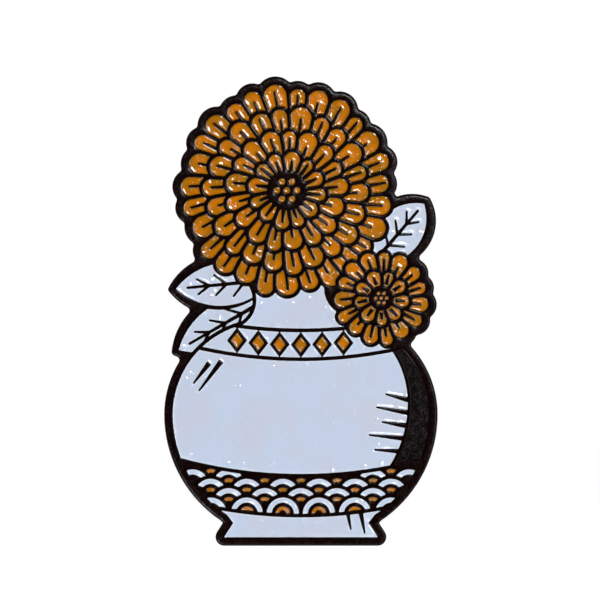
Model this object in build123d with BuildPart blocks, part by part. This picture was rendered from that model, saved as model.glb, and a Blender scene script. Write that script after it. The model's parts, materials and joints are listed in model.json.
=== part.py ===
"""Soft enamel lapel pin: a vase of chrysanthemums in raised black metal line work, on two posts
with butterfly clutches. Millimetres. The face looks along -Y, +Z is up as worn, and the origin is
the middle of the plate's flat back, which lies against the cloth."""

from build123d import *
import os
from math import asin, cos, pi, radians, sin

# plate and enamel
plate_thickness = 1.6
recess_depth = 0.36
enamel_thickness = 0.27
field_depth = 0.2
border = 0.95
line = 0.42
fine_line = 0.34
least_cell = 0.2
least_seed = 0.05
notch_radius = 0.4

# blooms: rings of petals from the middle out, each as (count, reach, turn in degrees)
main_centre = (-1.5, 13.05)
main_disc = 1.75
main_rings = [(12, 4.2, 4), (17, 6.7, 11), (22, 9.1, 3), (27, 11.55, 8)]
side_centre = (8.7, 1.4)
side_disc = 0.95
side_rings = [(9, 3.0, 10), (15, 5.15, 0)]
petal_unevenness = 0.025
spread_unevenness = 0.09
petal_swirl = radians(9)
petal_root = 0.38
petal_fullness = 0.75
cover_disc = 0.82
vein_widths = (0.46, 0.24)
seed_radius, seed_ring = 0.2, 0.62

# leaves: stem end, tip and width
leaves = [
    ((-3.0, 3.4), (-13.5, 2.4), 4.6),
    ((-3.5, 1.4), (-13.2, -4.2), 4.6),
    ((7.8, 5.2), (13.3, 11.6), 4.8),
]
leaf_veins = 3
midrib_widths = (0.5, 0.3)
leaf_vein_widths = (0.36, 0.24)

# vase: half widths at heights, from the lip to the foot
lip, neck, shoulder = (5.9, 3.6), (4.8, 1.2), (6.3, -1.5)
widest, ankle, waist, foot_edge = (13.85, -11.2), (8.0, -22.0), (7.3, -22.9), (8.3, -24.45)
band_sag = 1.0
band_reach = 14.0
collar_top, collar_bottom = -1.3, -4.0
belly_bottom = -16.6
wave_bottom = -20.9
wave_radius, wave_step = 1.95, 1.014
fan_rings = (1.74, 1.209, 0.789, 0.39)
lozenge = (1.3, 1.7)
lozenge_pitch = 2.3
lozenge_places = range(-3, 3)
shade_offset = (-2.3, 1.3, 0)
belly_strokes = [
    ((11.6, -9.6), (9.2, -9.0)),
    ((11.6, -11.0), (8.2, -10.4)),
    ((11.4, -12.4), (8.8, -12.0)),
    ((11.4, -13.8), (7.4, -13.4)),
    ((11.2, -15.2), (8.0, -15.0)),
    ((-9.9, -5.6), (-11.6, -7.8)),
    ((-8.6, -5.4), (-11.0, -8.6)),
]
foot_strokes = [((4.9, -21.0), (5.4, -23.6)), ((6.4, -21.4), (6.9, -24.0))]
stroke_widths = (0.6, 0.2)

# posts: a pad in a blind seat of the plate, a shank, a groove and a sharp end
post_heights = {"upper": 11.6, "lower": -12.4}
pad_radius, pad_sunk, pad_proud = 1.5, 0.3, 0.2
solder_width, solder_rise = 0.25, 0.12
post_radius = 0.5
groove_start, groove_end, groove_depth = 6.0, 6.7, 0.2
point_start, post_end, point_radius = 8.0, 8.9, 0.06

# clutches: radii, and levels above the face that lies on the cloth
cloth_gap = 2.1
sheet = 0.35
bore_radius = 0.65
rim_radius, rim_height, lip_radius = 4.75, 1.1, 4.05
cap_radius, cap_height, cap_flange = 3.9, 3.0, 4.3
pip_radius, pip_hole = 0.42, 0.16
slot_inner, slot_outer, slot_width = 1.98, 2.86, 3.2
wing_path = [(0.27, 2.1), (0.27, 1.075), (2.1, 1.075), (2.42, 2.9), (2.85, 4.5), (5.2, 6.0)]
wing_bends = [0.2, 0.4, 2.0, 1.2]
foot_width, neck_width, ear_width = 3.1, 2.9, 5.0
foot_top, ear_bottom, ear_corner = 2.3, 3.25, 1.35
fork_depth, fork_gap = 1.45, 2.0
wire_radius, wire_offset, wire_level = 0.3, 0.82, 1.65
leg_start, leg_end = -2.5, 1.9

front = Plane.XZ  # local x is +X, local y is +Z and its normal is -Y, out of the face


def polar(centre, radius, angle):
    return (centre[0] + radius * cos(angle), centre[1] + radius * sin(angle))


def swirl(radius, ring_start, reach):
    """How far a petal's middle line has turned by a radius."""
    return petal_swirl * ((radius - ring_start) / reach) ** 2


def petal_angles(count, ring, turn, i):
    """The two sides of a petal, unevenly spread round the bloom."""
    ends = []
    for k in (i, i + 1):
        uneven = spread_unevenness * sin(2.4 * (k % count) + ring)
        ends.append((k + uneven) * 2 * pi / count + radians(turn))
    return ends


def ring_petals(centre, rings, ring, grow=0.0):
    """One ring's petals side by side, a line apart, each grown by an amount all round."""
    count, reach, turn = rings[ring]
    start = reach * petal_root
    margin = line / 2 - grow
    with BuildSketch() as petals:
        for i in range(count):
            low, high = petal_angles(count, ring, turn, i)
            tip = reach * (1 - petal_unevenness * (1 + sin(2.1 * i + 1.3 * ring)))
            shoulder = tip - petal_fullness * (tip * sin((high - low) / 2) - line / 2)
            radii = [start, (start + shoulder) / 2, shoulder]
            low_side, high_side = [], []
            for radius in radii:
                turned = swirl(radius, start, reach)
                low_side.append(polar(centre, radius, low + turned + asin(margin / radius)))
                high_side.append(polar(centre, radius, high + turned - asin(margin / radius)))
            peak = polar(centre, tip + grow, (low + high) / 2 + swirl(tip, start, reach))
            with BuildLine():
                ThreePointArc(*low_side)
                ThreePointArc(low_side[-1], peak, high_side[-1])
                ThreePointArc(*high_side)
                Line(low_side[0], high_side[0])
            make_face()
    return petals.sketch


def stroke(start, end, widths):
    """A line of metal that tapers from its start to a round end."""
    wide, narrow = widths
    across = Vector(*end) - Vector(*start)
    across = Vector(-across.Y, across.X).normalized() / 2
    round_end = Vector(*end) + Vector(across.Y, -across.X) * narrow
    with BuildSketch() as mark:
        with BuildLine():
            Polyline(
                Vector(*end) + across * narrow,
                Vector(*start) + across * wide,
                Vector(*start) - across * wide,
                Vector(*end) - across * narrow,
            )
            ThreePointArc(Vector(*end) + across * narrow, round_end, Vector(*end) - across * narrow)
        make_face()
    return mark.sketch


def ring_veins(centre, rings, ring):
    """A tapered line part way up the middle of each petal of a ring."""
    count, reach, turn = rings[ring]
    start = reach * petal_root
    inner = rings[ring - 1][1] if ring else reach * 0.6
    with BuildSketch() as veins:
        for i in range(count):
            low, high = petal_angles(count, ring, turn, i)
            end = inner + (0.5 + 0.16 * sin(1.9 * i + ring)) * (reach - inner)
            root = polar(centre, inner * 0.85, (low + high) / 2 + swirl(inner * 0.85, start, reach))
            tip = polar(centre, end, (low + high) / 2 + swirl(end, start, reach))
            add(stroke(root, tip, vein_widths))
    return veins.sketch


def ring_cover(centre, rings, ring, grow):
    """All that a ring hides, with the rings inside it, grown by an amount."""
    with BuildSketch() as cover:
        with Locations(centre):
            Circle(rings[ring][1] * cover_disc)
        add(ring_petals(centre, rings, ring, grow))
    return cover.sketch


def disc_at(centre, radius):
    with BuildSketch() as disc:
        with Locations(centre):
            Circle(radius)
    return disc.sketch


def seeds(centre, disc):
    """Round seeds in the middle of a bloom: one, and a ring of six round it."""
    with BuildSketch() as dots:
        with Locations(centre):
            Circle(disc * seed_radius)
            with PolarLocations(disc * seed_ring, 6):
                Circle(disc * seed_radius)
    return dots.sketch


def vase_shape(grow=0.0):
    """The vase's silhouette, grown by an amount."""
    with BuildSketch() as vase:
        with BuildLine():
            Line((0, lip[1]), lip)
            ThreePointArc(lip, neck, shoulder)
            TangentArc(widest, shoulder, tangent=(0, 1))
            TangentArc(widest, ankle, tangent=(0, -1))
            Polyline(ankle, waist, foot_edge, (0, foot_edge[1]))
            mirror(about=Plane.YZ)
        make_face()
        if grow:
            offset(amount=grow, kind=Kind.ARC)
    return vase.sketch


def band(top, bottom):
    """The region between two levels that sag in the middle, as rings on a round body do."""
    with BuildSketch() as region:
        with BuildLine():
            for level in (top, bottom):
                ThreePointArc(
                    (-band_reach, level + band_sag), (0, level - band_sag), (band_reach, level + band_sag)
                )
            for x in (-band_reach, band_reach):
                Line((x, top + band_sag), (x, bottom + band_sag))
        make_face()
    return region.sketch


def leaf_outline(stem, tip, width, grow=0.0):
    """A pointed leaf: two arcs from its stem end to its tip."""
    along = Vector(*tip) - Vector(*stem)
    across = Vector(-along.Y, along.X).normalized() * (width / 2 + grow)
    ends = [Vector(*stem), Vector(*tip) + along.normalized() * grow]
    middle = Vector(*stem) + along * 0.48
    with BuildSketch() as leaf:
        with BuildLine():
            for way in (-1, 1):
                ThreePointArc(ends[0], middle + across * way, ends[1])
        make_face()
    return leaf.sketch


def leaf_lines(stem, tip, width):
    """A leaf's midrib, and the veins that run out from it."""
    along = Vector(*tip) - Vector(*stem)
    across = Vector(-along.Y, along.X).normalized() * width
    with BuildSketch() as lines:
        add(stroke(stem, Vector(*stem) + along * 0.88, midrib_widths))
        for i in range(leaf_veins):
            root = Vector(*stem) + along * (0.3 + 0.18 * i)
            for way in (-1, 1):
                vein_end = root + along * 0.12 + across * way * (0.3 - 0.06 * i)
                add(stroke(root, vein_end, leaf_vein_widths))
    return lines.sketch


def wave_rings(outer, inner):
    """Rings of the wave band: rows of scales, each behind the row below it."""
    with BuildSketch() as fans:
        for row in range(-1, 5):
            level = wave_bottom + row * wave_step
            places = [((i + 0.5 * (row % 2)) * 2 * wave_radius, level) for i in range(-5, 6)]
            with BuildSketch() as one_row:
                with Locations(*places):
                    Circle(outer)
                with Locations(*places):
                    Circle(inner, mode=Mode.SUBTRACT)
                if row >= 0:
                    in_front = [(x + wave_radius, level - wave_step) for x, _ in places]
                    in_front += [(x, level - 2 * wave_step) for x, _ in places]
                    with Locations(*in_front):
                        Circle(wave_radius + line / 2, mode=Mode.SUBTRACT)
            add(one_row.sketch)
    return fans.sketch


def lozenge_row(side_grow, tip_grow):
    """Lozenges along the middle of the collar."""
    with BuildSketch() as row:
        for i in lozenge_places:
            x = i * lozenge_pitch
            level = (collar_top + collar_bottom) / 2 - band_sag + 2 * band_sag * (x / band_reach) ** 2
            wide = lozenge[0] / 2 + side_grow
            tall = lozenge[1] / 2 + tip_grow
            with Locations((x, level)):
                Polygon((-wide, 0), (0, -tall), (wide, 0), (0, tall))
    return row.sketch


def cells(shape, *covers, least_area=least_cell):
    """What covers leave open of a shape, without slivers too small to hold enamel."""
    with BuildSketch() as open_part:
        add(shape)
        for cover in covers:
            add(cover, mode=Mode.SUBTRACT)
    return Sketch([face for face in open_part.sketch.faces() if face.area > least_area])


def sharp_corners(face):
    """Corners of a face between two edges long enough to be rounded."""
    corners = []
    for vertex in face.vertices():
        here = vertex.center()
        ways_out = []
        for edge in face.edges().filter_by(lambda e: e.length > 1):
            if (edge @ 0 - here).length < 1e-5:
                ways_out.append(edge % 0)
            if (edge @ 1 - here).length < 1e-5:
                ways_out.append(edge % 1 * -1)
        if len(ways_out) == 2 and ways_out[0].get_angle(ways_out[1]) < 150:
            corners.append(here)
    return corners


def side_view(height, level=0.0):
    """The plane through a post's axis: local x is across the pin, local y is away from it."""
    return Plane(origin=(0, level, height), x_dir=(1, 0, 0), z_dir=(0, 0, 1))


def end_view(height, level):
    """The plane square to a post at a level, looking back at the pin."""
    return Plane(origin=(0, level, height), x_dir=(-1, 0, 0), z_dir=(0, 1, 0))


def post_axis(height):
    return Axis((0, 0, height), (0, 1, 0))


# the drawing, from the front layer to the back one
side_cover = ring_cover(side_centre, side_rings, 1, line)
main_cover = ring_cover(main_centre, main_rings, 3, line)
vase_cover = vase_shape(line)
flowers = (main_cover, side_cover)
side_names = ["side_bloom_inner_petals", "side_bloom_outer_petals"]
main_names = ["inner_petals", "second_petals", "third_petals", "outer_petals"]
blooms = [
    (side_centre, side_rings, side_disc, side_names),
    (main_centre, main_rings, main_disc, main_names),
]
fills = {}
for centre, rings, disc, names in blooms:
    hidden = [disc_at(centre, disc + line)]
    for ring, name in enumerate(names):
        if name == "outer_petals":
            hidden.append(side_cover)
        fills[name] = cells(ring_petals(centre, rings, ring), ring_veins(centre, rings, ring), *hidden)
        hidden = [ring_cover(centre, rings, ring, line)]
fills["seeds"] = cells(seeds(main_centre, main_disc), least_area=least_seed)
fills["side_seeds"] = cells(seeds(side_centre, side_disc), least_area=least_seed)

vase = vase_shape()
shade = vase.moved(Location(shade_offset))
shade_line = vase_cover.moved(Location(shade_offset))
rim = band(lip[1] + 2 * border, collar_top + line)
collar = band(collar_top, collar_bottom)
belly = band(collar_bottom - line, belly_bottom)
waves = band(belly_bottom - line, wave_bottom)
foot = band(wave_bottom - line, foot_edge[1] - 2 * border)
belly_marks = [stroke(*mark, stroke_widths) for mark in belly_strokes]
foot_marks = [stroke(*mark, stroke_widths) for mark in foot_strokes]
lozenge_cover = lozenge_row(1.3 * fine_line, 1.65 * fine_line)
fills["vase_neck"] = cells(vase & rim & shade, *flowers)
fills["vase_collar"] = cells(vase & collar & shade, lozenge_cover, *flowers)
fills["vase_lozenges"] = cells(vase & shade & lozenge_row(0, 0), *flowers)
fills["vase_belly"] = cells(vase & belly & shade, *belly_marks, *flowers)
fills["vase_foot"] = cells(vase & foot, *foot_marks)
fills["wave_fans"] = cells(vase & waves & wave_rings(*fan_rings[:2]))
fills["wave_cores"] = cells(vase & waves & wave_rings(*fan_rings[2:]))
fields = cells(vase & belly, shade_line, *flowers)

leaf_cells, leaf_covers, nearer = [], [], [vase_cover, *flowers]
for stem, tip, width in leaves:
    leaf_cells += cells(leaf_outline(stem, tip, width), leaf_lines(stem, tip, width), *nearer).faces()
    leaf_covers.append(leaf_outline(stem, tip, width, border))
    nearer.append(leaf_outline(stem, tip, width, line))
fills["leaves"] = Sketch(leaf_cells)

with BuildSketch() as silhouette:
    add(ring_cover(main_centre, main_rings, 3, border))
    add(ring_cover(side_centre, side_rings, 1, border))
    add(vase_shape(border))
    for cover in leaf_covers:
        add(cover)
with BuildSketch() as outline:
    add(Face(silhouette.sketch.faces().sort_by(SortBy.AREA)[-1].outer_wire()))
    for corner in sharp_corners(outline.face()):
        fillet(outline.vertices().sort_by_distance(corner)[0], notch_radius)

# the plate and its enamel as solids
floor_plane = front.offset(plate_thickness - recess_depth)
pieces = []
with BuildPart() as base_plate:
    with BuildSketch(front):
        add(outline.sketch)
    extrude(amount=plate_thickness)
    with BuildSketch(floor_plane):
        for fill in fills.values():
            add(fill)
    extrude(amount=recess_depth, mode=Mode.SUBTRACT)
    with BuildSketch(front.offset(plate_thickness - field_depth)):
        add(fields)
    extrude(amount=field_depth, mode=Mode.SUBTRACT)
    with BuildSketch(front):
        with Locations(*[(0, height) for height in post_heights.values()]):
            Circle(pad_radius + solder_width)
    extrude(amount=pad_sunk, mode=Mode.SUBTRACT)
base_plate.part.label = "base_plate"
pieces.append(base_plate.part)

for name, fill in fills.items():
    with BuildPart() as enamel:
        with BuildSketch(floor_plane):
            add(fill)
        extrude(amount=enamel_thickness)
    enamel.part.label = name
    pieces.append(enamel.part)


# the posts and their clutches
for place, height in post_heights.items():
    with BuildPart() as post:
        with BuildSketch(side_view(height)):
            with BuildLine():
                Polyline(
                    (post_radius, groove_start),
                    (post_radius, pad_proud),
                    (pad_radius, pad_proud),
                    (pad_radius, -pad_sunk),
                    (0, -pad_sunk),
                    (0, post_end),
                    (point_radius, post_end),
                    (post_radius, point_start),
                    (post_radius, groove_end),
                )
                ThreePointArc(
                    (post_radius, groove_end),
                    (post_radius - groove_depth, (groove_start + groove_end) / 2),
                    (post_radius, groove_start),
                )
            make_face()
        revolve(axis=post_axis(height))
    post.part.label = f"{place}_post"

    with BuildPart() as solder:
        with BuildSketch(side_view(height)):
            with BuildLine():
                Polyline(
                    (pad_radius, solder_rise),
                    (pad_radius, -pad_sunk),
                    (pad_radius + solder_width, -pad_sunk),
                    (pad_radius + solder_width, 0),
                    close=True,
                )
            make_face()
        revolve(axis=post_axis(height))
    solder.part.label = f"{place}_solder"

    pips = [(way * wire_offset, leg_start + pip_radius) for way in (-1, 1)]
    pips.append((0, leg_end + wire_offset))
    with BuildPart() as clutch_base:
        with BuildSketch(side_view(height, cloth_gap)):
            with BuildLine():
                FilletPolyline(
                    (bore_radius, sheet / 2),
                    (rim_radius - sheet / 2, sheet / 2),
                    (rim_radius - sheet / 2, rim_height - sheet / 2),
                    (lip_radius, rim_height - sheet / 2),
                    radius=0.3,
                )
            trace(line_width=sheet)
        revolve(axis=post_axis(height))
        with BuildSketch(end_view(height, cloth_gap)):
            with Locations(*pips):
                Circle(pip_radius)
        extrude(amount=wire_level - wire_radius)
        with BuildSketch(end_view(height, cloth_gap)):
            with Locations(*pips):
                Circle(pip_hole)
        extrude(amount=wire_level - wire_radius - sheet, mode=Mode.SUBTRACT)
    clutch_base.part.label = f"{place}_clutch_base"

    with BuildPart() as clutch_cap:
        with BuildSketch(side_view(height, cloth_gap)):
            with BuildLine():
                FilletPolyline(
                    (cap_flange, sheet * 1.5),
                    (cap_radius - sheet / 2, sheet * 1.5),
                    (cap_radius - sheet, cap_height - sheet / 2),
                    (bore_radius + 0.1, cap_height - sheet / 2),
                    radius=[0.2, 0.8],
                )
            trace(line_width=sheet)
        revolve(axis=post_axis(height))
        with BuildSketch(end_view(height, cloth_gap + wire_level + wire_radius)):
            with Locations(*pips):
                Circle(pip_radius)
        extrude(amount=cap_height - sheet - wire_level - wire_radius)
        with BuildSketch(end_view(height, cloth_gap + cap_height)):
            with Locations(*pips):
                Circle(pip_hole)
        extrude(amount=-(cap_height - wire_level - wire_radius - sheet), mode=Mode.SUBTRACT)
        with BuildSketch(end_view(height, cloth_gap + foot_top)):
            for way in (-1, 1):
                with Locations((way * (slot_inner + slot_outer) / 2, 0)):
                    Rectangle(slot_outer - slot_inner, slot_width)
        extrude(amount=cap_height, mode=Mode.SUBTRACT)
    clutch_cap.part.label = f"{place}_clutch_cap"

    with BuildPart() as spring:
        with BuildLine(end_view(height, cloth_gap + wire_level)) as hairpin:
            Line((wire_offset, leg_start), (wire_offset, leg_end))
            ThreePointArc((wire_offset, leg_end), (0, leg_end + wire_offset), (-wire_offset, leg_end))
            Line((-wire_offset, leg_end), (-wire_offset, leg_start))
        with BuildSketch(Plane(hairpin.wire() @ 0, z_dir=hairpin.wire() % 0)):
            Circle(wire_radius)
        sweep(path=hairpin.wire())
    spring.part.label = f"{place}_spring"
    pieces += [post.part, solder.part, clutch_base.part, clutch_cap.part, spring.part]

    for side, way in (("left", -1), ("right", 1)):
        with BuildPart() as wing:
            with BuildSketch(side_view(height, cloth_gap)):
                with BuildLine():
                    FilletPolyline(*[(way * x, y) for x, y in wing_path], radius=wing_bends)
                trace(line_width=sheet)
            extrude(amount=ear_width / 2, both=True)
            ear_plane = Plane(origin=(0, cloth_gap, height), x_dir=(0, 1, 0), z_dir=(1, 0, 0))
            ear_top = wing_path[-1][1]
            with BuildSketch(ear_plane):
                with Locations((foot_top / 2, 0)):
                    Rectangle(foot_top, foot_width)
                with Locations((ear_bottom, 0)):
                    Rectangle(2 * (ear_bottom - foot_top), neck_width)
                with Locations(((ear_bottom + ear_top) / 2, 0)):
                    RectangleRounded(ear_top - ear_bottom, ear_width, ear_corner)
            extrude(amount=rim_radius * 2, both=True, mode=Mode.INTERSECT)
            with BuildSketch(end_view(height, cloth_gap)):
                Rectangle(2 * fork_depth, fork_gap)
            extrude(amount=foot_top, mode=Mode.SUBTRACT)
        wing.part.label = f"{place}_{side}_wing"
        pieces.append(wing.part)

os.makedirs("parts", exist_ok=True)
for piece in pieces:
    export_step(piece, f"parts/{piece.label}.step")
    print(piece.label, len(piece.solids()), round(piece.volume, 3))
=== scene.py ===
import json
from contextlib import contextmanager
from math import cos, pi, radians, sin

import bmesh
import bpy
import numpy as np
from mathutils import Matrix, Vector
from mathutils.geometry import delaunay_2d_cdt
from mathutils.kdtree import KDTree


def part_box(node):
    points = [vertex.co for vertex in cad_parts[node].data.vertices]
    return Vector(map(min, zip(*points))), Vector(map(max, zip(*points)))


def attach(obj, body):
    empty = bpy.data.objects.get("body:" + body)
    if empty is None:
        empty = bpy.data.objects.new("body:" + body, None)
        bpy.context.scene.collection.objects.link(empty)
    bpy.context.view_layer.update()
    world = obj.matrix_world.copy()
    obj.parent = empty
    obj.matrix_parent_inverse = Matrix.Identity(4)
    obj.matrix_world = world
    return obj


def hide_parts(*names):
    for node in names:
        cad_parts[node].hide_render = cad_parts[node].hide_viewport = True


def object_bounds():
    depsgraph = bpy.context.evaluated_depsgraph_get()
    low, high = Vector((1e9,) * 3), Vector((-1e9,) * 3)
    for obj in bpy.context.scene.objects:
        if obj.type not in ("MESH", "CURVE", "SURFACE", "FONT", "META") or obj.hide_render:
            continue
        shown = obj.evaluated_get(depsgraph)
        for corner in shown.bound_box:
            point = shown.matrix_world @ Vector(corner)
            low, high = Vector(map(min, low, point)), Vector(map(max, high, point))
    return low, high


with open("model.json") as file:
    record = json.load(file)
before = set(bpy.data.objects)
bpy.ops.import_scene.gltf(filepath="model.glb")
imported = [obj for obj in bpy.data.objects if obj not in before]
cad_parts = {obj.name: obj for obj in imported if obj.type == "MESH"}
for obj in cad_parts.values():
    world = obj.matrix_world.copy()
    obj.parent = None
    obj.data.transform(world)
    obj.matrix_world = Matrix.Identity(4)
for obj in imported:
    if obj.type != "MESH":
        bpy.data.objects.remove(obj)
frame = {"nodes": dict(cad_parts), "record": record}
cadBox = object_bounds()
mm = 0.001
plateLow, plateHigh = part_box("base_plate")
slots = {row["node"]: row["material_slot"] for row in frame["record"]["subparts"]}
print("frame loaded:", len(frame["nodes"]), "nodes")


class Board:
    # a node tree, with one way to add a node to it
    def __init__(self, tree):
        self.tree = tree

    def node(self, kind, settings=None, inputs=None, output=0):
        # the settings come first, because they can change which inputs there are
        node = self.tree.nodes.new(kind)
        for key, value in (settings or {}).items():
            setattr(node, key, value)
        for key, value in (inputs or {}).items():
            if isinstance(value, Wire):
                self.tree.links.new(value.socket, node.inputs[key])
            else:
                node.inputs[key].default_value = value
        return Wire(self, node.outputs[output]) if node.outputs else None

    def end(self, node, **links):
        # ties wires to the sockets of a node that is already there
        for socket, value in links.items():
            self.tree.links.new(value.socket, node.inputs[socket.replace("_", " ")])

    def rays(self):
        # 1 for a ray from the camera, off a gloss or through a clear thing, each on its own wire
        kinds = ("Camera", "Glossy", "Transmission")
        return [self.node("ShaderNodeLightPath", output=f"Is {kind} Ray") for kind in kinds]


class Wire:
    # a socket that can be written in a sum
    def __init__(self, board, socket):
        self.board, self.socket = board, socket

    def maths(self, operation, first, second):
        return self.board.node("ShaderNodeMath", {"operation": operation}, {0: first, 1: second})

    def __add__(self, other):
        return self.maths("ADD", self, other)

    def __radd__(self, other):
        return self.maths("ADD", other, self)

    def __sub__(self, other):
        return self.maths("SUBTRACT", self, other)

    def __rsub__(self, other):
        return self.maths("SUBTRACT", other, self)

    def __mul__(self, other):
        return self.maths("MULTIPLY", self, other)

    def __rmul__(self, other):
        return self.maths("MULTIPLY", other, self)

    def __pow__(self, other):
        return self.maths("POWER", self, other)

    def __rpow__(self, other):
        return self.maths("POWER", other, self)

    def clear(self):
        # nothing below zero
        return self.maths("MAXIMUM", self, 0.0)

    def above(self, edge, soft=0.001):
        # 0 below an edge and 1 above it, with a soft step between
        return self.board.node(
            "ShaderNodeMapRange", {"interpolation_type": "SMOOTHSTEP"},
            {"Value": self, "From Min": edge - soft, "From Max": edge + soft}, "Result",
        )


class Finish(Board):
    # a material being put together; what is the same all over it is fixed at the start
    def __init__(self, name, **fixed):
        self.material = bpy.data.materials.new(name)
        self.material.use_nodes = True
        super().__init__(self.material.node_tree)
        self.shader = self.tree.nodes["Principled BSDF"]
        for socket, value in fixed.items():
            self.shader.inputs[socket.replace("_", " ")].default_value = value

    def place(self, **mapping):
        # the place on the pin, stretched or turned where that is asked for
        place = self.node("ShaderNodeTexCoord", output="Object")
        if mapping:
            place = self.node("ShaderNodeMapping", inputs={"Vector": place, **mapping})
        return place

    def mark(self, name):
        return self.node("ShaderNodeAttribute", {"attribute_name": name}, output="Fac")

    def noise(self, size, detail=2.0, place=None):
        # a noise whose lumps are about this many metres across
        inputs = {"Vector": place or self.place(), "Scale": 1 / size, "Detail": detail}
        return self.node("ShaderNodeTexNoise", inputs=inputs, output="Fac")

    def mix(self, amount, first, second):
        first, second = (
            value if isinstance(value, Wire) else (*value, 1.0) for value in (first, second)
        )
        inputs = {0: amount, 6: first, 7: second}
        return self.node("ShaderNodeMix", {"data_type": "RGBA"}, inputs, 2)

    def drops(self, spacing, radius, share, scatter=0.9):
        # round drops on the face, in this share of its cells: 1 at a drop's top and 0 off it
        flat = self.place(Rotation=(pi / 2, 0, 0))
        settings = {"voronoi_dimensions": "2D"}
        inputs = {"Vector": flat, "Scale": 1 / spacing, "Randomness": scatter}
        reach = self.node("ShaderNodeTexVoronoi", settings, inputs, "Distance")
        colour = self.node("ShaderNodeTexVoronoi", settings, inputs, "Color")
        chance = self.node("ShaderNodeSeparateColor", inputs={"Color": colour}, output="Red")
        return (1 - (reach * (spacing / radius)) ** 2).clear() * (1 - chance.above(share))

    def done(self, colour, rough, height):
        inputs = {"Height": height, "Distance": 1.0}
        bump = self.node("ShaderNodeBump", inputs=inputs, output="Normal")
        self.end(self.shader, Base_Color=colour, Roughness=rough, Normal=bump)
        return self.material


# an edge is a level and how soft the step there is; drops are their spacing, radius and share
enamelSkin = {
    "bend": 1.5, "gloss": 0.5,   # how it bends light, and how strongly it mirrors
    "paintedRimFall": 3.0,              # how sharply the rim's painted highlight and painted shade keep to the wall
    "dustEdge": (0.3, 0.2),
    "swell": 1.1 * mm, "ripple": 0.25 * mm, "rippleShare": 0.08, "waveDetail": 1.0,
    "wear": 2.5 * mm, "wearRough": 0.05,
    "shoreDrops": (1.6 * mm, 0.46 * mm, 0.6), "shoreEdge": (0.12, 0.1),
}
paleTones = {
    "body": (0.535, 0.612, 0.762), "cloud": (0.555, 0.592, 0.710),
    "clouds": 3.6 * mm, "cloudEdge": (0.52, 0.16),
    # the pale's rim colour is a painted highlight: the enamel is lightened along its walls
    "rim": (0.78, 0.85, 0.93), "paintedRimAmount": 0.5,
    "dust": (0.25, 0.27, 0.32), "dustAmount": 0.55, "dustDrops": (1.0 * mm, 0.055 * mm, 0.3),
    "roughness": 0.11, "skinDepth": 0.03 * mm,
    "largeDrops": (3.4 * mm, 0.3 * mm, 0.22), "largeHeight": 0.045 * mm,
    "smallDrops": (2.6 * mm, 0.16 * mm, 0.5), "smallHeight": 0.016 * mm,
    "shoreHeight": 0.065 * mm,
}
orangeTones = {
    "body": (0.57, 0.166, 0.0), "cloud": (0.39, 0.138, 0.0),
    "clouds": 2.2 * mm, "cloudEdge": (0.5, 0.12),
    # the orange's rim colour is partly a thin film over the black and partly painted shade: the
    # enamel is darkened along its walls
    "rim": (0.13, 0.062, 0.0), "paintedRimAmount": 0.95,
    "dust": (0.90, 0.42, 0.09), "dustAmount": 0.7, "dustDrops": (1.1 * mm, 0.055 * mm, 0.3),
    "roughness": 0.09, "skinDepth": 0.05 * mm,
    "largeDrops": (1.7 * mm, 0.4 * mm, 0.45), "largeHeight": 0.055 * mm,
    "smallDrops": (0.75 * mm, 0.16 * mm, 0.5), "smallHeight": 0.034 * mm,
    "shoreHeight": 0.03 * mm,
}


def enamelFinish(name, tones):
    # cured enamel: clouded, dusty, with painted light at its walls (a painted highlight on the
    # pale, a darker film with painted shade on the orange), with drops that stand up and glint
    skin = enamelSkin
    finish = Finish(name, IOR=skin["bend"], Specular_IOR_Level=skin["gloss"])
    clouds = finish.noise(tones["clouds"]).above(*tones["cloudEdge"])
    colour = finish.mix(clouds, tones["body"], tones["cloud"])
    shore = finish.mark("shore")
    # painted light at the walls: a painted highlight on the pale enamel, a darker film with
    # painted shade on the orange
    colour = finish.mix(shore ** skin["paintedRimFall"] * tones["paintedRimAmount"], colour, tones["rim"])
    dust = finish.drops(*tones["dustDrops"]).above(*skin["dustEdge"])
    colour = finish.mix(dust * tones["dustAmount"], colour, tones["dust"])
    ripple = finish.noise(skin["ripple"], skin["waveDetail"]) * skin["rippleShare"]
    waves = finish.noise(skin["swell"], skin["waveDetail"]) + ripple
    large = finish.drops(*tones["largeDrops"])
    small = finish.drops(*tones["smallDrops"])
    ashore = finish.drops(*skin["shoreDrops"]) * shore.above(*skin["shoreEdge"])
    height = waves * tones["skinDepth"] + large * tones["largeHeight"]
    height = height + small * tones["smallHeight"] + ashore * tones["shoreHeight"]
    rough = finish.noise(skin["wear"]) * skin["wearRough"] + tones["roughness"]
    return finish.done(colour, rough, height)


enamels = {
    "orange_enamel": enamelFinish("orangeEnamel", orangeTones),
    "pale_enamel": enamelFinish("paleEnamel", paleTones),
}

dyedSkin = {
    "bend": 1.45, "sandDetail": 3.0,
    "clouds": 3 * mm, "cloudEdge": (0.5, 0.2),
    "gritEdge": (0.55, 0.1), "patchEdge": (0.5, 0.15),
    "wear": 1.2 * mm, "wearRough": 0.08, "openRough": 0.05,
    "sandHeight": 0.010 * mm, "patchHeight": 0.012 * mm,
    "lineShare": 0.08,           # what the smooth lines keep of those heights
}
dyedTones = {
    "body": (0.0030, 0.0004, 0.0002), "cloud": (0.0046, 0.0012, 0.0009),
    "grit": (0.030, 0.014, 0.014), "gritAmount": 0.9, "sand": 0.13 * mm, "patch": 0.5 * mm,
    "gloss": 0.16, "roughness": 0.09,
}
sandedTones = {
    "body": (0.0010, 0.0003, 0.0007), "cloud": (0.0022, 0.0008, 0.0012),
    "grit": (0.040, 0.030, 0.034), "gritAmount": 0.85, "sand": 0.21 * mm, "patch": 0.7 * mm,
    "gloss": 0.07, "roughness": 0.2,
}


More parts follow.
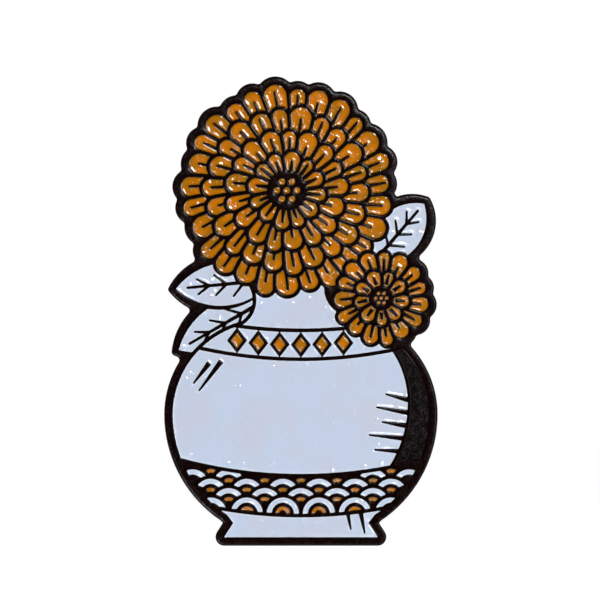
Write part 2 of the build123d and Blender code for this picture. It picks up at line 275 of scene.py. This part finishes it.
def dyedFinish(name, tones):
    # dyed metal: smooth on the lines, with a fine sandy skin where it lies open
    skin = dyedSkin
    finish = Finish(name, IOR=skin["bend"], Specular_IOR_Level=tones["gloss"])
    wide = finish.mark("open")
    sand = finish.noise(tones["sand"], skin["sandDetail"])
    patch = finish.noise(tones["patch"], skin["sandDetail"])
    clouds = finish.noise(skin["clouds"]).above(*skin["cloudEdge"])
    colour = finish.mix(clouds, tones["body"], tones["cloud"])
    grit = sand.above(*skin["gritEdge"]) * patch.above(*skin["patchEdge"]) * wide
    colour = finish.mix(grit * tones["gritAmount"], colour, tones["grit"])
    rough = finish.noise(skin["wear"]) * skin["wearRough"] + wide * skin["openRough"]
    height = sand * skin["sandHeight"] + patch * skin["patchHeight"]
    height = height * (wide * (1 - skin["lineShare"]) + skin["lineShare"])
    return finish.done(colour, rough + tones["roughness"], height)


dyedMetal = dyedFinish("dyedMetal", dyedTones)
sandedMetal = dyedFinish("sandedMetal", sandedTones)
backMetal = dyedFinish("backMetal", {**dyedTones, "gloss": 0.12, "roughness": 0.2})
grainMetal = dyedFinish("grainMetal", {**dyedTones, "gloss": 0.4, "roughness": 0.24})

bareSkin = {
    "grain": 0.16 * mm, "grainDetail": 3.0, "grainEdge": (0.62, 0.12), "grainAmount": 0.3,
    "patch": 1.5 * mm, "patchDetail": 5.0, "patchEdge": (0.57, 0.12),
    "grainRough": 0.14, "patchRough": 0.14,
}
brassTones = {
    "metal": (0.76, 0.53, 0.22), "tarnish": (0.42, 0.26, 0.10), "tarnishAmount": 0.55,
    "roughness": 0.14, "stretch": (1.0, 0.25, 1.0), "depth": 0.006 * mm,
}
nickelTones = {
    "metal": (0.62, 0.60, 0.56), "tarnish": (0.30, 0.27, 0.24), "tarnishAmount": 0.4,
    "roughness": 0.16, "stretch": (1.0, 0.2, 1.0), "depth": 0.004 * mm,
}
tinTones = {
    "metal": (0.50, 0.50, 0.52), "tarnish": (0.22, 0.22, 0.24), "tarnishAmount": 0.7,
    "roughness": 0.34, "stretch": (1.0, 1.0, 1.0), "depth": 0.03 * mm,
}


def bareFinish(name, tones):
    # bare sheet or wire: faint drawing lines, and a tarnish that gathers in patches
    skin = bareSkin
    finish = Finish(name, Metallic=1.0)
    grain = finish.noise(skin["grain"], skin["grainDetail"], finish.place(Scale=tones["stretch"]))
    patch = finish.noise(skin["patch"], skin["patchDetail"]).above(*skin["patchEdge"])
    colour = finish.mix(patch * tones["tarnishAmount"], tones["metal"], tones["tarnish"])
    lines = grain.above(*skin["grainEdge"]) * skin["grainAmount"]
    colour = finish.mix(lines, colour, tones["tarnish"])
    rough = grain * skin["grainRough"] + patch * skin["patchRough"] + tones["roughness"]
    return finish.done(colour, rough, grain * tones["depth"])


bare = {
    "clutch_metal": bareFinish("brassSheet", brassTones),
    "post_metal": bareFinish("nickelPost", nickelTones),
    "spring_wire": bareFinish("springWire", {**nickelTones, "metal": (0.48, 0.47, 0.46)}),
    "solder": bareFinish("tinSolder", tinTones),
}
print("finishes made")


# the struck face: its walls are read from the frame's flat faces, eased, and filled with triangles
drawing = {
    "levelSlack": 0.002 * mm,    # how far off its level a flat face may lie
    "keyStep": 0.0001 * mm,      # corners nearer than this are one
    "sample": 0.1 * mm,          # spacing of points along a wall
    "leastPoints": 20,           # points round the smallest loop
    "passes": 3,                 # how often corners are eased
    "ease": (0.5, -0.52),        # one pass: a pull in, then a push out that keeps the size
    "grid": 0.42 * mm,           # spacing of points in the open part of a region
    "rowStep": 0.866,            # its rows, as a share of the spacing
    "ringKeep": 0.9,             # a ring's points stay if they lie this share of its reach away
    "gridKeep": 0.45,            # the same for the open part, as a share of the spacing
    "leastGap": 0.022 * mm,      # points nearer each other than this are one
}


def flatLoops(node, level):
    # the edges of a node's flat faces at a level, with the face on the left, as (x, z) points
    mesh = frame["nodes"][node].data
    points = np.empty(len(mesh.vertices) * 3)
    mesh.vertices.foreach_get("co", points)
    points = points.reshape(-1, 3)
    corners = np.empty(len(mesh.loops), dtype=np.int32)
    mesh.loops.foreach_get("vertex_index", corners)
    corners = corners.reshape(-1, 3)
    offLevel = np.abs(points[corners][:, :, 1] - level)
    corners = corners[np.all(offLevel < drawing["levelSlack"], axis=1)]
    keys = np.round(points[:, (0, 2)] / drawing["keyStep"]).astype(int)
    first, second, third = (keys[corners[:, i]] for i in range(3))
    ahead, aside = second - first, third - first
    turn = ahead[:, 0] * aside[:, 1] - ahead[:, 1] * aside[:, 0]
    corners[turn < 0] = corners[turn < 0][:, ::-1]
    corners = corners[turn != 0]
    sides = set()
    for triangle in keys[corners].tolist():
        for i in range(3):
            sides.add((tuple(triangle[i]), tuple(triangle[(i + 1) % 3])))
    following = {}
    for start, end in sorted(sides):
        if (end, start) not in sides:
            following.setdefault(start, []).append(end)
    loops = []
    for start in sorted(following):
        while following[start]:
            loop, here = [], start
            while following[here]:
                loop.append(here)
                here = following[here].pop()
            loops.append(np.array(loop) * drawing["keyStep"])
    return loops


def smoothLoop(loop):
    # evenly spaced points round a loop, eased without shrinking it
    ends = np.vstack([loop, loop[:1]])
    along = np.concatenate([[0], np.cumsum(np.hypot(*np.diff(ends, axis=0).T))])
    count = max(drawing["leastPoints"], int(round(along[-1] / drawing["sample"])))
    at = np.arange(count) * along[-1] / count
    even = np.column_stack([np.interp(at, along, ends[:, 0]), np.interp(at, along, ends[:, 1])])
    for share in drawing["ease"] * drawing["passes"]:
        even = even + share * ((np.roll(even, 1, 0) + np.roll(even, -1, 0)) / 2 - even)
    return even


def easedLoops(node, level):
    return [smoothLoop(loop) for loop in flatLoops(node, level)]


def area(loop):
    x, z = loop.T
    return 0.5 * float(np.sum(x * np.roll(z, -1) - z * np.roll(x, -1)))


def inset(loop, reach):
    # a loop moved to its left by a distance
    ahead = np.roll(loop, -1, 0) - np.roll(loop, 1, 0)
    ahead /= np.maximum(np.hypot(*ahead.T)[:, None], 1e-12)
    return loop + np.column_stack([-ahead[:, 1], ahead[:, 0]]) * reach


def circleLoop(centre, radius, count):
    turn = np.arange(count) * 2 * pi / count
    return np.column_stack([centre[0] + radius * np.cos(turn), centre[1] + radius * np.sin(turn)])


class Walls:
    # measures how far points lie from a set of loops
    def __init__(self, loops):
        self.start = np.vstack(loops)
        self.end = np.vstack([np.roll(loop, -1, 0) for loop in loops])
        counts = [len(loop) for loop in loops]
        firsts = np.cumsum([0] + counts[:-1])
        before = [first + (np.arange(count) - 1) % count for first, count in zip(firsts, counts)]
        self.before = np.concatenate(before)
        self.tree = KDTree(len(self.start))
        for i, (x, z) in enumerate(self.start.tolist()):
            self.tree.insert((x, z, 0), i)
        self.tree.balance()

    def distance(self, points):
        nearest = np.array([self.tree.find((x, z, 0))[1] for x, z in points.tolist()], dtype=int)
        reach = np.full(len(points), 1.0)
        for index in (nearest, self.before[nearest]):
            first, along = self.start[index], self.end[index] - self.start[index]
            squared = np.maximum(np.sum(along * along, 1), 1e-18)
            share = np.sum((points - first) * along, 1) / squared
            foot = first + np.clip(share, 0, 1)[:, None] * along
            reach = np.minimum(reach, np.hypot(*(points - foot).T))
        return reach


def thin(points, gap):
    # drops points that share a small square with an earlier one
    _, first = np.unique(np.floor(points / gap).astype(int), axis=0, return_index=True)
    return points[np.sort(first)]


def fieldPoints(loops, rings, walls, grid):
    # points for the inside of a region: rings along its walls, then an even spread
    found = []
    for reach in rings:
        ring = np.vstack([inset(loop, reach) for loop in loops])
        found.append(ring[walls.distance(ring) > drawing["ringKeep"] * reach])
    low, high = np.vstack(loops).min(0), np.vstack(loops).max(0)
    columns = np.arange(low[0], high[0], grid)
    rows = np.arange(low[1], high[1], grid * drawing["rowStep"])
    across, up = np.meshgrid(columns, rows)
    across = across + (np.arange(len(rows)) % 2)[:, None] * grid / 2
    spread = np.column_stack([across.ravel(), up.ravel()])
    found.append(spread[walls.distance(spread) > rings[-1] + drawing["gridKeep"] * grid])
    return thin(np.vstack(found), drawing["leastGap"])


def triangulate(loops, extra=()):
    # covers the region on the left of the loops: gives its points, its triangles, and where the
    # loops' own points went
    points, edges = [], []
    for loop in loops:
        first = len(points)
        points += loop.tolist()
        edges += [(first + i, first + (i + 1) % len(loop)) for i in range(len(loop))]
    walled = len(points)
    points += [list(point) for point in extra]
    flat = [Vector((x / mm, z / mm)) for x, z in points]
    made, _, triangles, origin, _, _ = delaunay_2d_cdt(flat, edges, [], 0, 1e-6, True)
    place = {}
    for i, olds in enumerate(origin):
        for old in olds:
            place[old] = i
    wall = {(place[a], place[b]) for a, b in edges}
    sides = {}
    for index, corners in enumerate(triangles):
        for i in range(3):
            sides[(corners[i], corners[(i + 1) % 3])] = index
    # a triangle on a wall is in or out by the wall's direction, and its neighbours follow it
    inside, waiting = {}, []
    for side, index in sides.items():
        if side in wall or side[::-1] in wall:
            inside[index] = side in wall
            waiting.append(index)
    while waiting:
        index = waiting.pop()
        corners = triangles[index]
        for i in range(3):
            side = (corners[i], corners[(i + 1) % 3])
            other = sides.get(side[::-1])
            if other is None or other in inside or side in wall or side[::-1] in wall:
                continue
            inside[other] = inside[index]
            waiting.append(other)
    kept = [corners for index, corners in enumerate(triangles) if inside.get(index)]
    used = sorted({corner for corners in kept for corner in corners})
    number = {old: new for new, old in enumerate(used)}
    kept = [tuple(number[corner] for corner in corners) for corners in kept]
    covered = np.array([made[i][:] for i in used]) * mm
    return covered, kept, [number[place[i]] for i in range(walled)]


def split(loops, indexes):
    # a list that runs over all the loops' points, as one list for each loop
    ends = np.cumsum([0] + [len(loop) for loop in loops])
    return [indexes[ends[i]:ends[i + 1]] for i in range(len(loops))]


def newPiece(name, mesh, sharp):
    mesh.shade_smooth()
    mesh.set_sharp_from_angle(angle=radians(sharp))
    piece = bpy.data.objects.new(name, mesh)
    bpy.context.scene.collection.objects.link(piece)
    return piece


def standFor(piece, body, node):
    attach(piece, body)
    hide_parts(node)


class Shell:
    # a mesh put together from rings and flat regions
    def __init__(self):
        self.points, self.faces, self.finish, self.marks = [], [], [], []

    def put(self, flat, depth, mark):
        # adds (x, z) points at a depth, with a mark on each, and gives their indexes
        first = len(self.points)
        depth = np.broadcast_to(depth, len(flat))
        self.points += np.column_stack([flat[:, 0], depth, flat[:, 1]]).tolist()
        self.marks += np.broadcast_to(mark, len(flat)).tolist()
        return list(range(first, len(self.points)))

    def join(self, flat, place, there, depth, mark):
        # indexes for a region's points, of which those at its walls are there already
        where = dict(zip(place, there))
        others = [i for i in range(len(flat)) if i not in where]
        depth, mark = (np.broadcast_to(value, len(flat))[others] for value in (depth, mark))
        where.update(zip(others, self.put(flat[others], depth, mark)))
        return where

    def bridge(self, near, far):
        # a wall from a ring to a deeper one, with the solid on the rings' left
        for i in range(len(near)):
            j = (i + 1) % len(near)
            self.faces.append((near[i], far[i], far[j], near[j]))
            self.finish.append(0)

    def cover(self, place, triangles, outward=True, finish=0):
        # triangles by their points' indexes, facing out of the pin's face or out of its back
        for a, b, c in triangles:
            corners = (a, b, c) if outward else (a, c, b)
            self.faces.append(tuple(place[corner] for corner in corners))
            self.finish.append(finish)

    def build(self, name, materials, mark, sharp):
        mesh = bpy.data.meshes.new(name)
        mesh.from_pydata(self.points, [], self.faces)
        for material in materials:
            mesh.materials.append(material)
        mesh.polygons.foreach_set("material_index", self.finish)
        mesh.attributes.new(mark, "FLOAT", "POINT").data.foreach_set("value", self.marks)
        return newPiece(name, mesh, sharp)


cells = {
    node: easedLoops(node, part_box(node)[0].y) for node, slot in slots.items() if slot in enamels
}
print("cells read:", sum(len(loops) for loops in cells.values()))

fill = {
    "dip": 0.065 * mm,           # how far the middle of a fill lies under its flat level
    "climb": 0.08 * mm,          # how far enamel creeps up a wall
    "climbReach": 0.18 * mm,
    "climbVaries": 0.2,          # the uneven part of that, as a share
    "climbWaves": ((1.9, 0.7, 0), (-0.8, 1.3, 1)),   # its two waves: across, up and start
    "shore": 0.3 * mm,           # how soon the mark that tells the finish of a wall fades
    "rings": (0.04 * mm, 0.09 * mm, 0.16 * mm, 0.27 * mm, 0.42 * mm),
    "sharp": 40,
}


def enamelPiece(node):
    # cured enamel: low in the middle of a cell and drawn up at its walls, unevenly
    loops = cells[node]
    low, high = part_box(node)
    walls = Walls(loops)
    extra = fieldPoints(loops, fill["rings"], walls, drawing["grid"])
    flat, triangles, place = triangulate(loops, extra)
    reach = walls.distance(flat)
    reach[place] = 0
    x, z = flat.T / mm
    one, two = (np.sin(across * x + up * z + start) for across, up, start in fill["climbWaves"])
    climb = fill["climb"] * (1 + fill["climbVaries"] * one * two)
    depth = low.y + fill["dip"] - climb * np.exp(-reach / fill["climbReach"])
    shell = Shell()
    top = shell.put(flat, depth, np.exp(-reach / fill["shore"]))
    shell.cover(top, triangles)
    base = shell.put(np.vstack(loops), high.y, 1.0)
    for near, far in zip(split(loops, [top[i] for i in place]), split(loops, base)):
        shell.bridge(near, far)
    _, triangles, place = triangulate(loops)
    shell.cover(dict(zip(place, base)), triangles, outward=False)
    piece = shell.build(node + "_fill", [enamels[slots[node]]], "shore", fill["sharp"])
    standFor(piece, "plate", node)
    return len(shell.faces)


print("enamel filled:", sum(enamelPiece(node) for node in cells), "faces")

struck = {
    "edgeRound": 0.34 * mm,      # how far in from the outline the border is rounded
    "edgeDrop": 0.22 * mm,       # how far the rounding falls at the outline
    "edgeSteps": 5,
    "backRound": 0.16 * mm, "backSteps": 3,
    "lineRound": 0.13 * mm,      # how far in from a wall a line's edge is rounded
    "lineDrop": 0.06 * mm,       # how far the rounding falls at the wall
    "lineRings": (0.045 * mm, 0.13 * mm),
    "rimGap": 0.06 * mm,         # room between the border's rounding and the nearest points
    "openFrom": 0.22 * mm,       # metal this far from a wall starts to count as open
    "openOver": 0.25 * mm,       # and is wholly open this much further
    "fieldDepth": 0.2 * mm,      # the black fields, below the lines
    "backRings": (0.12 * mm, 0.4 * mm), "backGrid": 1.1 * mm,
    "seatPoints": 72,
    "sharp": 38,
}
lineFinish, fieldFinish, backFinish = range(3)


def quarter(reach, drop, steps):
    # a rounded edge as (inset, drop) pairs, from the wall to the flat
    turns = [pi / 2 * i / steps for i in range(steps + 1)]
    return [(reach * (1 - cos(turn)), drop * (1 - sin(turn))) for turn in turns]


fieldLevel = plateLow.y + struck["fieldDepth"]
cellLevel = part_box("vase_belly")[1].y
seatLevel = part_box("upper_solder")[0].y
outline = max(easedLoops("base_plate", plateLow.y), key=area)
fields = easedLoops("base_plate", fieldLevel)
shell = Shell()
frontRows = [
    shell.put(inset(outline, reach), plateLow.y + drop, 1.0)
    for reach, drop in quarter(struck["edgeRound"], struck["edgeDrop"], struck["edgeSteps"])
]
backRows = [
    shell.put(inset(outline, reach), plateHigh.y - drop, 1.0)
    for reach, drop in quarter(struck["backRound"], struck["backRound"], struck["backSteps"])
]
middleRow = shell.put(outline, (plateLow.y + plateHigh.y) / 2, 1.0)
rows = frontRows[::-1] + [middleRow] + backRows
for near, far in zip(rows, rows[1:]):
    shell.bridge(near, far)

# the lines between the cells, with rounded tops
rim = inset(outline, struck["edgeRound"])
hollows = [loop[::-1] for loops in list(cells.values()) + [fields] for loop in loops]
holeWalls = Walls(hollows)
extra = fieldPoints(hollows, struck["lineRings"], holeWalls, drawing["grid"])
extra = extra[Walls([rim]).distance(extra) > struck["rimGap"]]
flat, triangles, place = triangulate([rim] + hollows, extra)
reach = holeWalls.distance(flat)
reach[place[len(rim):]] = 0
share = np.clip(1 - reach / struck["lineRound"], 0, 1)
depth = plateLow.y + struck["lineDrop"] * (1 - np.sqrt(1 - share ** 2))
openness = np.clip((reach - struck["openFrom"]) / struck["openOver"], 0, 1)
where = shell.join(flat, place, frontRows[-1], depth, openness)
shell.cover(where, triangles)
print("lines covered:", len(triangles), "triangles")

# the floors of the cells and of the black fields
edges = iter(split(hollows, [where[i] for i in place[len(rim):]]))
floors = [(loops, cellLevel, lineFinish) for loops in cells.values()]
for loops, level, finish in floors + [(fields, fieldLevel, fieldFinish)]:
    base = []
    for loop in loops:
        ring = shell.put(loop[::-1], level, 1.0)
        shell.bridge(next(edges), ring)
        base += ring[::-1]
    fieldFlat, fieldTriangles, place = triangulate(loops)
    shell.cover(dict(zip(place, base)), fieldTriangles, finish=finish)

# the back, with a blind seat for each post's pad
seats = []
for solder in ("upper_solder", "lower_solder"):
    low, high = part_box(solder)
    seats.append(circleLoop((0, (low.z + high.z) / 2), (high.x - low.x) / 2, struck["seatPoints"]))
backLoops = [inset(outline, struck["backRound"])] + [seat[::-1] for seat in seats]
extra = fieldPoints(backLoops, struck["backRings"], Walls(backLoops), struck["backGrid"])
flat, triangles, place = triangulate(backLoops, extra)
openings = [shell.put(seat[::-1], plateHigh.y, 1.0) for seat in seats]
where = shell.join(flat, place, backRows[-1] + openings[0] + openings[1], plateHigh.y, 1.0)
shell.cover(where, triangles, outward=False, finish=backFinish)
for seat, opening in zip(seats, openings):
    ring = shell.put(seat[::-1], seatLevel, 1.0)
    shell.bridge(ring, opening)
    _, triangles, place = triangulate([seat])
    shell.cover(dict(zip(place, ring[::-1])), triangles, outward=False, finish=backFinish)
plate = shell.build("struck_plate", [dyedMetal, sandedMetal, backMetal], "open", struck["sharp"])
standFor(plate, "plate", "base_plate")
print("plate made:", len(plate.data.polygons), "faces")


def finished(piece, name):
    # the mesh that a piece's modifiers make; the piece itself goes
    bpy.context.view_layer.update()
    evaluated = piece.evaluated_get(bpy.context.evaluated_depsgraph_get())
    mesh = bpy.data.meshes.new_from_object(evaluated)
    bpy.data.objects.remove(piece)
    mesh.name = name
    return mesh


class Grower(Board):
    # a tree of geometry nodes that grows a mesh from another, with named sizes
    def __init__(self, name, sizes):
        super().__init__(bpy.data.node_groups.new(name, "GeometryNodeTree"))
        face = self.tree.interface
        face.new_socket("Geometry", in_out="INPUT", socket_type="NodeSocketGeometry")
        self.sizes = {}
        for key, value in sizes.items():
            kind = "NodeSocketInt" if isinstance(value, int) else "NodeSocketFloat"
            self.sizes[face.new_socket(key, in_out="INPUT", socket_type=kind).identifier] = value
        face.new_socket("Geometry", in_out="OUTPUT", socket_type="NodeSocketGeometry")

    def given(self, name):
        return self.node("NodeGroupInput", output=name)

    def finish(self, geometry, material):
        real = self.node("GeometryNodeRealizeInstances", inputs={"Geometry": geometry})
        dress = {"Geometry": real, "Material": material}
        dressed = self.node("GeometryNodeSetMaterial", inputs=dress)
        self.node("NodeGroupOutput", inputs={"Geometry": dressed})

    def grow(self, name, mesh, sharp):
        # the tree's result on a mesh, as a plain piece
        seed = bpy.data.objects.new(name + "_seed", mesh)
        bpy.context.scene.collection.objects.link(seed)
        modifier = seed.modifiers.new("grow", "NODES")
        modifier.node_group = self.tree
        for identifier, value in self.sizes.items():
            modifier[identifier] = value
        return newPiece(name, finished(seed, name), sharp)


# sandy grains struck into the black fields
grains = {"Density": 16.0 / mm ** 2, "Least": 0.03 * mm, "Most": 0.1 * mm, "Seed": 7}
grainLook = {"open": 0.6, "sharp": 60}
grainTree = Grower("grainTree", grains)
spots = grainTree.node("GeometryNodeDistributePointsOnFaces", inputs={
    "Mesh": grainTree.given("Geometry"),
    "Density": grainTree.given("Density"),
    "Seed": grainTree.given("Seed"),
}, output="Points")
grain = grainTree.node("GeometryNodeMeshIcoSphere", inputs={
    "Radius": 1.0, "Subdivisions": 1,
}, output="Mesh")
width = grainTree.node("FunctionNodeRandomValue", {"data_type": "FLOAT"}, {
    2: grainTree.given("Least"), 3: grainTree.given("Most"), "Seed": grainTree.given("Seed"),
}, 1)
turned = grainTree.node("FunctionNodeRandomValue", {"data_type": "FLOAT_VECTOR"}, {
    0: (0, 0, 0), 1: (2 * pi, 2 * pi, 2 * pi), "Seed": grainTree.given("Seed"),
}, 0)
scattered = grainTree.node("GeometryNodeInstanceOnPoints", inputs={
    "Points": spots, "Instance": grain, "Rotation": turned, "Scale": width,
})
grainTree.finish(scattered, grainMetal)
bed = bpy.data.meshes.new("bed")
bed.from_pydata([(x, fieldLevel, z) for x, z in fieldFlat.tolist()], [], fieldTriangles)
grit = grainTree.grow("field_grains", bed, grainLook["sharp"])
openMark = grit.data.attributes.new("open", "FLOAT", "POINT")
openMark.data.foreach_set("value", [grainLook["open"]] * len(grit.data.vertices))
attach(grit, "plate")
print("grains struck:", len(grit.data.polygons), "faces")

# the hairpin springs: wire bent round a path that runs along both sides of a post
hairpin = {"Wire Radius": 0.3 * mm, "Sides": 20, "Step": 0.12 * mm}
hairpinPath = {"press": 0.02 * mm, "legSteps": 12, "bowSteps": 24, "sharp": 50}
wireTree = Grower("wireTree", hairpin)
line = wireTree.node("GeometryNodeMeshToCurve", inputs={"Mesh": wireTree.given("Geometry")})
line = wireTree.node("GeometryNodeResampleCurve", {"mode": "LENGTH"}, {
    "Curve": line, "Length": wireTree.given("Step"),
})
ringCurve = wireTree.node("GeometryNodeCurvePrimitiveCircle", inputs={
    "Resolution": wireTree.given("Sides"), "Radius": wireTree.given("Wire Radius"),
}, output="Curve")
tube = wireTree.node("GeometryNodeCurveToMesh", inputs={
    "Curve": line, "Profile Curve": ringCurve, "Fill Caps": True,
})
wireTree.finish(tube, bare["spring_wire"])


def springPath(node):
    # from one leg's end round the bow to the other's; the legs bend in to press on the post
    low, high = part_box(node)
    radius = hairpin["Wire Radius"]
    reach, level = high.x - radius, (low.y + high.y) / 2
    bow = high.z - radius - reach
    legs = []
    for i in range(hairpinPath["legSteps"]):
        share = i / hairpinPath["legSteps"]
        x = reach - hairpinPath["press"] * sin(pi * share)
        legs.append((x, low.z + (bow - low.z) * share))
    turns = [pi * i / hairpinPath["bowSteps"] for i in range(hairpinPath["bowSteps"] + 1)]
    bend = [(reach * cos(turn), bow + reach * sin(turn)) for turn in turns]
    flat = legs + bend + [(-x, z) for x, z in legs[::-1]]
    links = [(i, i + 1) for i in range(len(flat) - 1)]
    path = bpy.data.meshes.new(node + "_path")
    path.from_pydata([(x, level, z) for x, z in flat], links, [])
    return path


for place in ("upper", "lower"):
    path = springPath(f"{place}_spring")
    spring = wireTree.grow(f"{place}_hairpin", path, hairpinPath["sharp"])
    standFor(spring, f"{place}_clutch", f"{place}_spring")
print("springs bent")


# posts and clutches: the solids with their doubles merged and their sheared edges broken
clutch = {
    "merge": 0.0002 * mm,        # doubles nearer than this are one
    "flat": 0.5,                 # faces that turn by fewer degrees than this are one
    "edge": 0.035 * mm,          # width of a broken edge
    "edgeSteps": 2,
    "edgeAngle": 40,             # edges that turn by more degrees than this are broken
    "least": 0.00004 * mm,       # slivers thinner than this go
    "sharp": 50,
}
bodies = {
    "post": "plate", "solder": "plate", "clutch_base": "{}_clutch", "clutch_cap": "{}_clutch",
    "left_wing": "{}_left_wing_body", "right_wing": "{}_right_wing_body",
}


@contextmanager
def opened(mesh):
    solid = bmesh.new()
    solid.from_mesh(mesh)
    yield solid
    solid.to_mesh(mesh)
    solid.free()


def brokenEdges(node, name):
    mesh = frame["nodes"][node].data.copy()
    with opened(mesh) as solid:
        bmesh.ops.remove_doubles(solid, verts=solid.verts, dist=clutch["merge"])
        bmesh.ops.dissolve_limit(
            solid, angle_limit=radians(clutch["flat"]), verts=solid.verts, edges=solid.edges,
        )
    mesh.materials.clear()
    mesh.materials.append(bare[slots[node]])
    piece = newPiece(name, mesh, clutch["edgeAngle"])
    bevel = piece.modifiers.new("edges", "BEVEL")
    bevel.width = clutch["edge"]
    bevel.segments = clutch["edgeSteps"]
    bevel.limit_method = "ANGLE"
    bevel.angle_limit = radians(clutch["edgeAngle"])
    mesh = finished(piece, name)
    with opened(mesh) as solid:
        bmesh.ops.dissolve_degenerate(solid, edges=solid.edges, dist=clutch["least"])
        bmesh.ops.triangulate(solid, faces=solid.faces)
    return newPiece(name, mesh, clutch["sharp"])


for place in ("upper", "lower"):
    for kind, body in bodies.items():
        node = f"{place}_{kind}"
        standFor(brokenEdges(node, node + "_made"), body.format(place), node)
print("posts and clutches made")


# camera, light and surroundings
shot = {
    "lens": 130, "sensor": 36, "clip": 0.001,
    "width": 65.3 * mm,          # what the view takes in at the pin
    "aim": Vector((-0.1 * mm, 0, 1.2 * mm)),
}
# a lamp at turn 0 stands straight out of the face, at 90 towards +X and at 180 behind the pin
lamps = {
    "key": {
        "turn": 35, "height": 8, "reach": 0.5, "size": (0.12, 0.36), "strength": 6.4,
        "colour": (0.93, 0.97, 1.0),
    },
    "leftFill": {
        "turn": -50, "height": 42, "reach": 0.55, "size": (0.2, 0.4), "strength": 0.9,
        "colour": (1.0, 0.97, 0.94),
    },
    "lowGlint": {
        "turn": -20, "height": -22, "reach": 0.5, "size": (0.07, 0.07), "strength": 34.0,
        "colour": (1.0, 1.0, 1.0),
    },
    "nearGlint": {
        "turn": 9, "height": 15, "reach": 0.5, "size": (0.07, 0.07), "strength": 54.0,
        "colour": (1.0, 1.0, 1.0),
    },
    "backSoft": {
        "turn": 152, "height": 24, "reach": 0.5, "size": (0.16, 0.3), "strength": 4.5,
        "colour": (1.0, 1.0, 1.0),
    },
}
studio = {
    "fill": 0.22,                # what the surroundings give a matt surface
    "front": 0.03,               # what a gloss sees on the camera's side, as a share of white
    "below": 0.5,                # the same behind and below
    "behindEdge": (0.0, 0.35), "upEdge": (-0.1, 0.35),
    "floor": -90 * mm, "floorEdges": (-0.6, -0.12, 0.6, 0.9),
    "floorColour": (0.86, 0.86, 0.86, 1), "floorRough": 0.8, "floorGlow": 0.75,
}


def hangLamp(name, turn, height, reach, size, strength, colour):
    # a soft lamp that looks at the pin
    turn, height = radians(turn), radians(height)
    place = reach * Vector((sin(turn) * cos(height), -cos(turn) * cos(height), sin(height)))
    light = bpy.data.lights.new(name, "AREA")
    light.shape = "RECTANGLE"
    light.size, light.size_y = size
    light.energy = strength * size[0] * size[1] * pi
    light.color = colour
    lamp = bpy.data.objects.new(name, light)
    lamp.location = place
    lamp.rotation_euler = (-place).to_track_quat("-Z", "Y").to_euler()
    bpy.context.scene.collection.objects.link(lamp)


for name, row in lamps.items():
    hangLamp(name, **row)

centre = (cadBox[0] + cadBox[1]) / 2
away = shot["width"] * shot["lens"] / shot["sensor"]
camera = bpy.data.objects.new("camera", bpy.data.cameras.new("camera"))
camera.data.lens = shot["lens"]
camera.data.sensor_width = shot["sensor"]
camera.data.clip_start = shot["clip"]
camera.location = Vector((centre.x, -away, centre.z)) + shot["aim"]
camera.rotation_euler = (pi / 2, 0, 0)
bpy.context.scene.collection.objects.link(camera)
bpy.context.scene.camera = camera

# the surroundings are white to the camera, and to a gloss only behind the pin
world = bpy.data.worlds.new("studio")
bpy.context.scene.world = world
world.use_nodes = True
sky = Board(world.node_tree)
background = world.node_tree.nodes["Background"]
fromCamera, fromGloss, throughClear = sky.rays()
way = sky.node("ShaderNodeTexCoord", output="Generated")
alongY = sky.node("ShaderNodeSeparateXYZ", inputs={"Vector": way}, output="Y")
alongZ = sky.node("ShaderNodeSeparateXYZ", inputs={"Vector": way}, output="Z")
behind = alongY.above(*studio["behindEdge"])
upward = alongZ.above(*studio["upEdge"])
glossy = behind * (studio["below"] + upward * (1 - studio["below"]))
glossy = glossy * (1 - studio["front"]) + studio["front"]
seen = fromCamera + throughClear
unseen = fromGloss * glossy + (1 - fromGloss) * studio["fill"]
sky.end(background, Strength=seen + (1 - seen) * unseen)
background.inputs["Color"].default_value = (1, 1, 1, 1)

floorFinish = Finish(
    "floorFinish", Base_Color=studio["floorColour"], Roughness=studio["floorRough"],
    Emission_Strength=1.0,
)
fromCamera, fromGloss, throughClear = floorFinish.rays()
glow = (fromCamera + fromGloss + throughClear) * studio["floorGlow"]
floorFinish.end(floorFinish.shader, Emission_Color=glow)
left, near, right, far = studio["floorEdges"]
corners = ((left, near), (right, near), (right, far), (left, far))
floorMesh = bpy.data.meshes.new("floor")
floorMesh.from_pydata([(x, y, studio["floor"]) for x, y in corners], [], [(0, 1, 2, 3)])
floorMesh.materials.append(floorFinish.material)
floor = bpy.data.objects.new("floor", floorMesh)
bpy.context.scene.collection.objects.link(floor)
bpy.context.scene.view_settings.view_transform = "Standard"
print("set lit")
